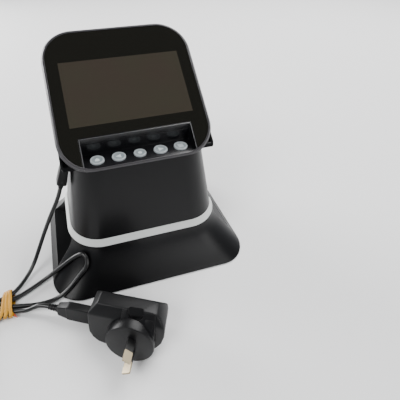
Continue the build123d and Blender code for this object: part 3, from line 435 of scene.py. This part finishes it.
adapter_plate = place_piece("adapter_plate", convex("adapter_plate", plate_spots, 0.0005),
                            [adapter_skin], "scanner")
slope = (adapter_up * 13.3 - adapter_out * 8.5).normalized()
slope_out = (adapter_up * 8.5 + adapter_out * 13.3).normalized()
notch_rings = []
for out, radius in ((-2.2, 5.4), (-1.6, 6.2), (3.0, 6.6)):
    ring = []
    for i in range(48):
        angle = 2 * math.pi * i / 48
        spot = (adapter_spot(2.2, 23.2, 11.0) + slope_out * out
                + adapter_right * radius * math.cos(angle)
                + slope * radius * math.sin(angle))
        ring.append(lead_point(*spot))
    notch_rings.append(ring)
notch = bpy.data.objects.new("notch_tool", skin_rings("notch_tool", notch_rings))
bpy.context.scene.collection.objects.link(notch)
for piece in (adapter_plate, adapter_block):
    cut = piece.modifiers.new("finger_notch", "BOOLEAN")
    cut.operation = "DIFFERENCE"
    cut.object = notch
    bpy.context.view_layer.update()
    cut_mesh = bpy.data.meshes.new_from_object(
        piece.evaluated_get(bpy.context.evaluated_depsgraph_get()))
    piece.modifiers.clear()
    piece.data = cut_mesh
bpy.data.objects.remove(notch)
latch_spots = []
for along, out in ((3.2, -0.2), (3.2, 0.35), (10.6, -0.2), (10.6, 0.35)):
    for u in (10.2, 16.4):
        spot = adapter_spot(u, 11.5, 3.5) + slope * along + slope_out * out
        latch_spots.append(lead_point(*spot))
place_piece("adapter_latch", convex("adapter_latch", latch_spots, 0.00012), [adapter_skin],
            "scanner")
sleeve_skin = moulded("sleeve_skin", (0.008, 0.008, 0.008), 0.45, edge=0.0002)
dress(sleeve_skin, "adapter_pin_sleeves")
pin_brass = metal("pin_brass", (0.42, 0.35, 0.24), 0.42)
dress(pin_brass, "adapter_pins")

# ---- flat USB plug --------------------------------------------------------------------------
# The lead ends in a flat USB plug pushed into the adapter's left end. Its black grip is moulded
# in one with a grooved collar, and a sliver of the plated shell shows beside the adapter.
usb_rings = []
for u, half_v, half_t, squareness in (
        (-39.0, 7.0, 3.3, 12), (-39.2, 7.35, 3.65, 14), (-39.7, 7.5, 3.8, 14),
        (-57.0, 7.5, 3.8, 14), (-59.2, 7.2, 3.75, 14), (-59.5, 6.9, 3.5, 12),
        (-66.8, 5.0, 3.3, 10), (-67.7, 4.75, 3.2, 8),
        (-68.1, 3.6, 3.0, 3), (-68.2, 3.0, 3.0, 2), (-69.8, 2.95, 2.95, 2), (-70.1, 2.3, 2.3, 2),
        (-70.9, 2.3, 2.3, 2), (-71.2, 2.85, 2.85, 2), (-72.2, 2.8, 2.8, 2), (-72.5, 2.2, 2.2, 2),
        (-73.3, 2.2, 2.2, 2), (-73.6, 2.7, 2.7, 2), (-74.6, 2.6, 2.6, 2), (-74.9, 2.15, 2.15, 2),
        (-75.6, 2.15, 2.15, 2), (-75.9, 2.5, 2.5, 2), (-76.8, 2.4, 2.4, 2), (-77.0, 2.05, 2.05, 2)):
    usb_rings.append(rounded_ring(adapter_spot(u, -3.5, 21.0), adapter_up, adapter_out,
                                  half_v, half_t, squareness))
place_piece("usb_plug_grip", skin_rings("usb_plug_grip", usb_rings), [plug_skin], "scanner",
            ["usb_plug"])
dress(steel, "usb_plug_shell")

# ---- base -----------------------------------------------------------------------------------
# A flared skirt of satin black ABS, open underneath, with a scoop in each side where the film
# goes through. A flat cover closes it from below on four screws, and it stands on four feet.
satin_black = moulded("satin_black", (0.003, 0.003, 0.0034), 0.32, grain=0.0005,
                      relief=0.000015, shine=0.22, edge=0.0008, tone_size=0.05)
dress(satin_black, "base_skirt")
matt_black = moulded("matt_black", (0.008, 0.008, 0.008), 0.5, grain=0.0006, relief=0.00004,
                     edge=0.0003)
dress(matt_black, "bottom_cover", "lower_film_guide", "upper_film_guide")
foot_rubber = moulded("foot_rubber", (0.02, 0.02, 0.02), 0.75, grain=0.0008, relief=0.00006,
                      edge=0.0004)
dress(foot_rubber, "rubber_feet")
dress(steel, "base_screws", "neck_screws", "head_screws", "board_screws", "button_board_screws")

# ---- light ring -----------------------------------------------------------------------------
# A sloping band of milky plastic between the base and the neck. The neck stands on it.
milky = moulded("milky_band", (0.63, 0.65, 0.63), 0.42, grain=0.0008, relief=0.00001,
                tone_spread=0.03, edge=0.0004)
milky.node_tree.nodes["Principled BSDF"].inputs["Subsurface Weight"].default_value = 0.15
milky.node_tree.nodes["Principled BSDF"].inputs["Subsurface Radius"].default_value = (0.002,) * 3
dress(milky, "light_ring")

# ---- neck -----------------------------------------------------------------------------------
# Two satin black shells that meet at a seam in each side, and taper up into the head.
dress(satin_black, "neck_front_shell", "neck_rear_shell")

# ---- lamp, guides and camera inside -----------------------------------------------------------
# A small board of white lamps shines up through a milky plate and the film. A lens in a black
# tower looks down at it onto a sensor on its own board.
def circuit(name, colour):
    """A lacquered circuit board: fine tracks show as paler lines."""
    skin = moulded(name, colour, 0.35, grain=0.0006, relief=0.00002, tone_size=0.02, shine=0.6)
    nodes, links = skin.node_tree.nodes, skin.node_tree.links
    where = nodes.new("ShaderNodeTexCoord")
    tracks = nodes.new("ShaderNodeTexBrick")
    tracks.inputs["Scale"].default_value = 90.0
    tracks.inputs["Mortar Size"].default_value = 0.06
    tracks.inputs["Color1"].default_value = (*colour, 1)
    tracks.inputs["Color2"].default_value = (*[c * 0.8 for c in colour], 1)
    tracks.inputs["Mortar"].default_value = (*[min(c * 2.2 + 0.01, 1) for c in colour], 1)
    links.new(where.outputs["Object"], tracks.inputs["Vector"])
    links.new(tracks.outputs["Color"], nodes["Principled BSDF"].inputs["Base Color"])
    return skin


board_green = circuit("board_green", (0.01, 0.09, 0.035))
dress(board_green, "lamp_board", "sensor_board", "main_board", "button_board")
lamp_white = moulded("lamp_white", (0.8, 0.74, 0.45), 0.4, tone_size=0.004, edge=0.0002)
dress(lamp_white, "backlight_lamps")
milk_plate = moulded("milk_plate", (0.78, 0.79, 0.78), 0.5, tone_spread=0.03, edge=0.0002)
dress(milk_plate, "lamp_diffuser")
dress(matt_black, "optics_tower", "lens_barrel")
lens_coating = moulded("lens_coating", (0.02, 0.012, 0.035), 0.05, rough_spread=0.02,
                       relief=0.000002, coat=1.0)
dress(lens_coating, "front_lens", "rear_lens")
chip_black = moulded("chip_black", (0.016, 0.016, 0.017), 0.5, grain=0.0003, edge=0.0002)
dress(chip_black, "image_sensor", "main_chip", "button_switches")

# ---- head -----------------------------------------------------------------------------------
# The case is one satin black tub that leans back, closed in front by a chamfered rim that holds
# the glass. Two screws at the top of the tub's back pull the rim on.
dress(satin_black, "head_case")
rim_grey = moulded("rim_grey", (0.034, 0.032, 0.035), 0.34, grain=0.0004, relief=0.00001,
                   edge=0.0005)
dress(rim_grey, "head_rim")

# ---- glass and display ----------------------------------------------------------------------
# One sheet of glass covers the head's face. It is printed black behind, with a clear window that
# shows the brownish grey of the display when that is off.
tilt = math.radians(36.17)
face_middle = (0.0, (33.96 + set_back) / 1000, 0.14888)
window_half = (0.05535, 0.03115)
window_up = 0.0025


def printed_glass(name):
    """Clear gloss over a black print, with a soft edged window where the display shows."""
    skin = moulded(name, (0.003, 0.003, 0.002), 0.045, grain=0.002, relief=0.0000008,
                   rough_spread=0.02, tone_spread=0.1, shine=0.5)
    nodes, links = skin.node_tree.nodes, skin.node_tree.links
    where = nodes.new("ShaderNodeTexCoord")
    across = nodes.new("ShaderNodeSeparateXYZ")
    links.new(where.outputs["Object"], across.inputs["Vector"])
    up = nodes.new("ShaderNodeVectorMath")
    up.operation = "DOT_PRODUCT"
    up.inputs[1].default_value = (0, math.cos(tilt), math.sin(tilt))
    links.new(where.outputs["Object"], up.inputs[0])
    centre_up = (face_middle[1] * math.cos(tilt) + face_middle[2] * math.sin(tilt) + window_up)
    edges = []
    for source, centre, half in ((across.outputs["X"], 0.0, window_half[0]),
                                 (up.outputs["Value"], centre_up, window_half[1])):
        offset = nodes.new("ShaderNodeMath")
        offset.operation = "SUBTRACT"
        offset.inputs[1].default_value = centre
        links.new(source, offset.inputs[0])
        size = nodes.new("ShaderNodeMath")
        size.operation = "ABSOLUTE"
        links.new(offset.outputs["Value"], size.inputs[0])
        inside = nodes.new("ShaderNodeMapRange")
        inside.interpolation_type = "SMOOTHSTEP"
        inside.inputs["From Min"].default_value = half + 0.0003
        inside.inputs["From Max"].default_value = half - 0.0003
        links.new(size.outputs["Value"], inside.inputs["Value"])
        edges.append(inside.outputs["Result"])
    window = nodes.new("ShaderNodeMath")
    window.operation = "MULTIPLY"
    links.new(edges[0], window.inputs[0])
    links.new(edges[1], window.inputs[1])
    cloud = nodes.new("ShaderNodeTexNoise")
    cloud.inputs["Scale"].default_value = 22.0
    cloud.inputs["Detail"].default_value = 1.0
    links.new(where.outputs["Object"], cloud.inputs["Vector"])
    panel = nodes.new("ShaderNodeMix")
    panel.data_type = "RGBA"
    panel.inputs["A"].default_value = (0.033, 0.033, 0.022, 1)
    panel.inputs["B"].default_value = (0.037, 0.027, 0.022, 1)
    links.new(cloud.outputs["Fac"], panel.inputs["Factor"])
    shown = nodes.new("ShaderNodeMix")
    shown.data_type = "RGBA"
    shown.inputs["A"].default_value = (0.0075, 0.0072, 0.0055, 1)
    links.new(window.outputs["Value"], shown.inputs["Factor"])
    links.new(panel.outputs["Result"], shown.inputs["B"])
    links.new(shown.outputs["Result"], nodes["Principled BSDF"].inputs["Base Color"])
    return skin


dress(printed_glass("printed_glass"), "front_glass")
panel_dark = moulded("panel_dark", (0.02, 0.02, 0.022), 0.15, tone_size=0.02)
dress(panel_dark, "display_panel")
dress(metal("frame_tin", (0.55, 0.55, 0.55), 0.35), "display_frame", "memory_card_socket")
ribbon_amber = moulded("ribbon_amber", (0.42, 0.17, 0.03), 0.3, tone_size=0.005)
dress(ribbon_amber, "display_ribbon")

# ---- button ledge ---------------------------------------------------------------------------
# A step moulded in gloss black, let into the head's lower edge. Its rear wall stands up to the
# glass. A thin strip of lighter grey round the wall's top edge is a painted highlight, where the
# gloss black edge catches the light.
gloss_black = moulded("gloss_black", (0.005, 0.005, 0.006), 0.2, grain=0.002,
                      relief=0.000002, rough_spread=0.03, edge=0.0004)
dress(gloss_black, "button_ledge")


def head_spot(x, up, depth):
    """A point of the head: `up` along the glass from its middle and `depth` below its face."""
    return Vector((x / 1000,
                   face_middle[1] + (up * math.cos(tilt) + depth * math.sin(tilt)) / 1000,
                   face_middle[2] + (up * math.sin(tilt) - depth * math.cos(tilt)) / 1000))


# A thin strip along the top edge of the ledge's wall, coloured lighter than the gloss black: a
# painted highlight.
edge_highlight_rings = []
for x, up, out_x, out_up in ((-49.3, -66.8, -1, 0), (-49.3, -40.2, -1, 1), (49.3, -40.2, 1, 1),
                             (49.3, -66.8, 1, 0)):
    edge_highlight_rings.append([head_spot(x + out_x * reach, up + out_up * reach, depth)
                       for reach, depth in ((0.0, 0.6), (0.0, 0.14), (0.12, 0.05), (0.5, 0.05),
                                            (0.62, 0.14), (0.62, 0.6))])
# Lighter grey than the ledge's gloss black: the colour of the painted highlight on the wall's edge.
painted_edge_highlight = moulded("painted_edge_highlight", (0.055, 0.055, 0.058), 0.36)
place_piece("button_ledge_painted_highlight", skin_rings("button_ledge_painted_highlight", edge_highlight_rings), [painted_edge_highlight],
            "scanner")

# ---- five buttons ---------------------------------------------------------------------------
# Turned looking caps of silvery plastic with a raised rim and a dished middle. Each has a collar
# that keeps it in the ledge, and a stem that stands over its switch.
button_names = ("home_button", "left_button", "ok_button", "right_button", "menu_button")
button_line_y = -8.9
button_pitch = 18.8
side_radius, middle_radius = 6.1, 5.5
steps_round = 56
dish_row = 11                   # from this row of faces inwards a cap is dished
sign_low, sign_high = 109.9, 110.14
sign_draft = 0.94               # a sign's top is this much smaller than its foot
button_silver = moulded("button_silver", (0.33, 0.36, 0.37), 0.33, grain=0.0004,
                        relief=0.00001, tone_spread=0.06)
button_dish = moulded("button_dish", (0.20, 0.235, 0.245), 0.38, grain=0.0003, relief=0.00002,
                      tone_spread=0.08, tone_size=0.004)
button_icon = moulded("button_icon", (0.55, 0.6, 0.61), 0.4, tone_spread=0.04)
for place, name in enumerate(button_names):
    x = button_pitch * (place - 2)
    r = middle_radius if name == "ok_button" else side_radius
    profile = [(1.8, 103.05), (1.8, 106.25), (r + 0.9, 106.25), (r + 0.9, 107.25),
               (r, 107.25), (r, 109.9), (r - 0.12, 110.15), (r - 0.4, 110.3), (r - 1.1, 110.3),
               (r - 1.25, 110.22), (r - 1.35, 110.02), (r - 1.45, 109.95), (1.2, 109.98)]
    cap = bmesh.new()
    rows = []
    for radius, height in profile:
        spots = []
        for i in range(steps_round):
            angle = 2 * math.pi * i / steps_round
            spots.append(cap.verts.new(lead_point(x + radius * math.cos(angle),
                                                  button_line_y + radius * math.sin(angle),
                                                  height)))
        rows.append(spots)
    for row, (near, far) in enumerate(zip(rows, rows[1:])):
        for i in range(steps_round):
            after = (i + 1) % steps_round
            face = cap.faces.new((near[i], near[after], far[after], far[i]))
            face.material_index = 1 if row >= dish_row else 0
    cap.faces.new(list(reversed(rows[0])))
    cap.faces.new(rows[-1]).material_index = 1
    signs = []
    if name in ("left_button", "right_button"):
        way = 1 if name == "right_button" else -1
        signs.append([(-1.9 * way, -2.5), (2.9 * way, 0), (-1.9 * way, 2.5)])
    elif name == "menu_button":
        for row in (-1.7, 0, 1.7):
            signs.append([(-2.4, row - 0.42), (2.4, row - 0.42), (2.4, row + 0.42),
                          (-2.4, row + 0.42)])
    elif name == "home_button":
        signs.append([(-1.9, -2.0), (1.9, -2.0), (1.9, 0.4), (0, 2.3), (-1.9, 0.4)])
    else:
        signs.append([(1.8 * math.cos(k * math.pi / 10), 1.8 * math.sin(k * math.pi / 10))
                      for k in range(20)])
    for sign in signs:
        low = [cap.verts.new(lead_point(x + a, button_line_y + b, sign_low)) for a, b in sign]
        high = [cap.verts.new(lead_point(x + a * sign_draft, button_line_y + b * sign_draft,
                                         sign_high)) for a, b in sign]
        size = len(sign)
        for i in range(size):
            cap.faces.new((low[i], low[(i + 1) % size], high[(i + 1) % size],
                           high[i])).material_index = 2
        cap.faces.new(high).material_index = 2
        cap.faces.new(list(reversed(low))).material_index = 2
    bmesh.ops.recalc_face_normals(cap, faces=cap.faces)
    cap_mesh = bpy.data.meshes.new(name.replace("button", "cap"))
    cap.to_mesh(cap_mesh)
    cap.free()
    place_piece(name.replace("button", "cap"), cap_mesh, [button_silver, button_dish, button_icon],
                name, [name])

# ---- floor and lights -----------------------------------------------------------------------
# A pale table under a dim room, lit by large soft lights, so that upright faces catch the
# table's light and faces that look up stay dark.
table = bpy.data.meshes.new("table_top")
table.from_pydata([(-4, -4, 0), (4, -4, 0), (4, 4, 0), (-4, 4, 0)], [], [(0, 1, 2, 3)])
table_top = bpy.data.objects.new("table_top", table)
bpy.context.scene.collection.objects.link(table_top)
table.materials.append(moulded("table_paint", (0.86, 0.86, 0.86), 0.7, tone_spread=0.01,
                               tone_size=0.3, shine=0.3))
room = bpy.data.worlds.new("room")
bpy.context.scene.world = room
room.use_nodes = True
room.node_tree.nodes["Background"].inputs["Color"].default_value = (0.9, 0.93, 1.0, 1)
room_nodes, room_links = room.node_tree.nodes, room.node_tree.links
room_way = room_nodes.new("ShaderNodeTexCoord")
room_height = room_nodes.new("ShaderNodeSeparateXYZ")
room_links.new(room_way.outputs["Generated"], room_height.inputs["Vector"])
room_shade = room_nodes.new("ShaderNodeMapRange")
room_shade.interpolation_type = "SMOOTHSTEP"
room_shade.inputs["From Max"].default_value = 0.55
room_shade.inputs["To Min"].default_value = 0.85
room_shade.inputs["To Max"].default_value = 0.09
room_links.new(room_height.outputs["Z"], room_shade.inputs["Value"])
room_links.new(room_shade.outputs["Result"], room_nodes["Background"].inputs["Strength"])


def soft_light(name, place, target, width, height, power):
    lamp = bpy.data.lights.new(name, "AREA")
    lamp.shape = "RECTANGLE"
    lamp.size = width
    lamp.size_y = height
    lamp.energy = power
    light = bpy.data.objects.new(name, lamp)
    light.location = place
    light.rotation_euler = (Vector(target) - Vector(place)).to_track_quat("-Z", "Y").to_euler()
    bpy.context.scene.collection.objects.link(light)


soft_light("window_light", (-1.0, 0.95, 0.42), (0, 0, 0.06), 0.9, 0.6, 30)
soft_light("ceiling_light", (1.0, 0.75, 1.5), (0.1, 0, 0), 1.5, 1.2, 62)
soft_light("left_ceiling_light", (-1.2, -0.5, 1.5), (-0.1, 0, 0), 0.9, 0.9, 26)
soft_light("front_light", (0.9, -1.4, 0.8), (0, 0, 0.05), 1.2, 0.6, 11)
